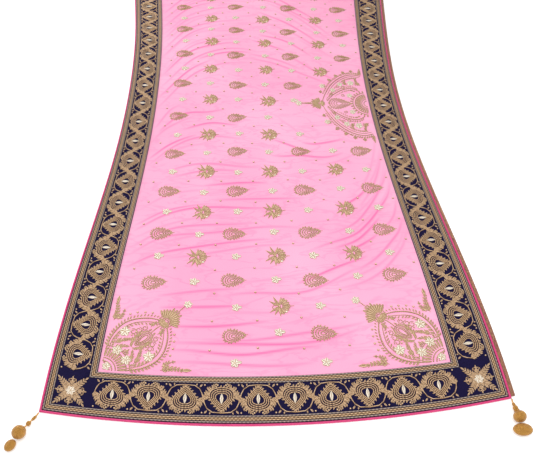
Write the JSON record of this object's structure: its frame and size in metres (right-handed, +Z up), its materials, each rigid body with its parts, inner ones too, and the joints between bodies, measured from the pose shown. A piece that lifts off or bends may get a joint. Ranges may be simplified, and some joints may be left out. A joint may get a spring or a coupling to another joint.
{
  "type": "bridal dupatta stole, laid flat",
  "caption": "Long net stole laid open, with an embroidered velvet border, piped edge, beaded side edging and gold corner tassels.",
  "frame": {"origin": "on the surface it lies on, under the middle of the cloth with its piping and edging", "axes": "+Y along the cloth away from the end with the tassels, +X across it towards the side with the beaded edging, +Z up"},
  "size_m": [1.0865, 2.3794, 0.029],
  "materials": {
    "net": "soft semi-sheer net, rose pink",
    "velvet": "velvet, navy, under dense metal-thread embroidery",
    "satin_piping": "satin piping, magenta",
    "metal_thread": "antique gold metal thread, beads and sequins",
    "gold": "bright gold-plated beads and drops",
    "gold_cord": "twisted gold cord"
  },
  "bodies": {
    "root": {"field": "net", "border_left": "velvet", "border_right": "velvet", "border_near": "velvet", "border_far": "velvet", "piping_left": "satin_piping", "piping_right": "satin_piping", "piping_near": "satin_piping", "piping_far": "satin_piping", "beaded_edging_right": "metal_thread", "tassel_left_string": "gold_cord", "tassel_left_wrapped_bead": "gold", "tassel_left_round_bead": "gold", "tassel_left_ball": "gold", "tassel_left_drops": "gold", "tassel_right_string": "gold_cord", "tassel_right_small_bead": "gold", "tassel_right_round_bead": "gold", "tassel_right_cap_bead": "gold", "tassel_right_ball": "gold", "tassel_right_drops": "gold"}
  },
  "joints": []
}
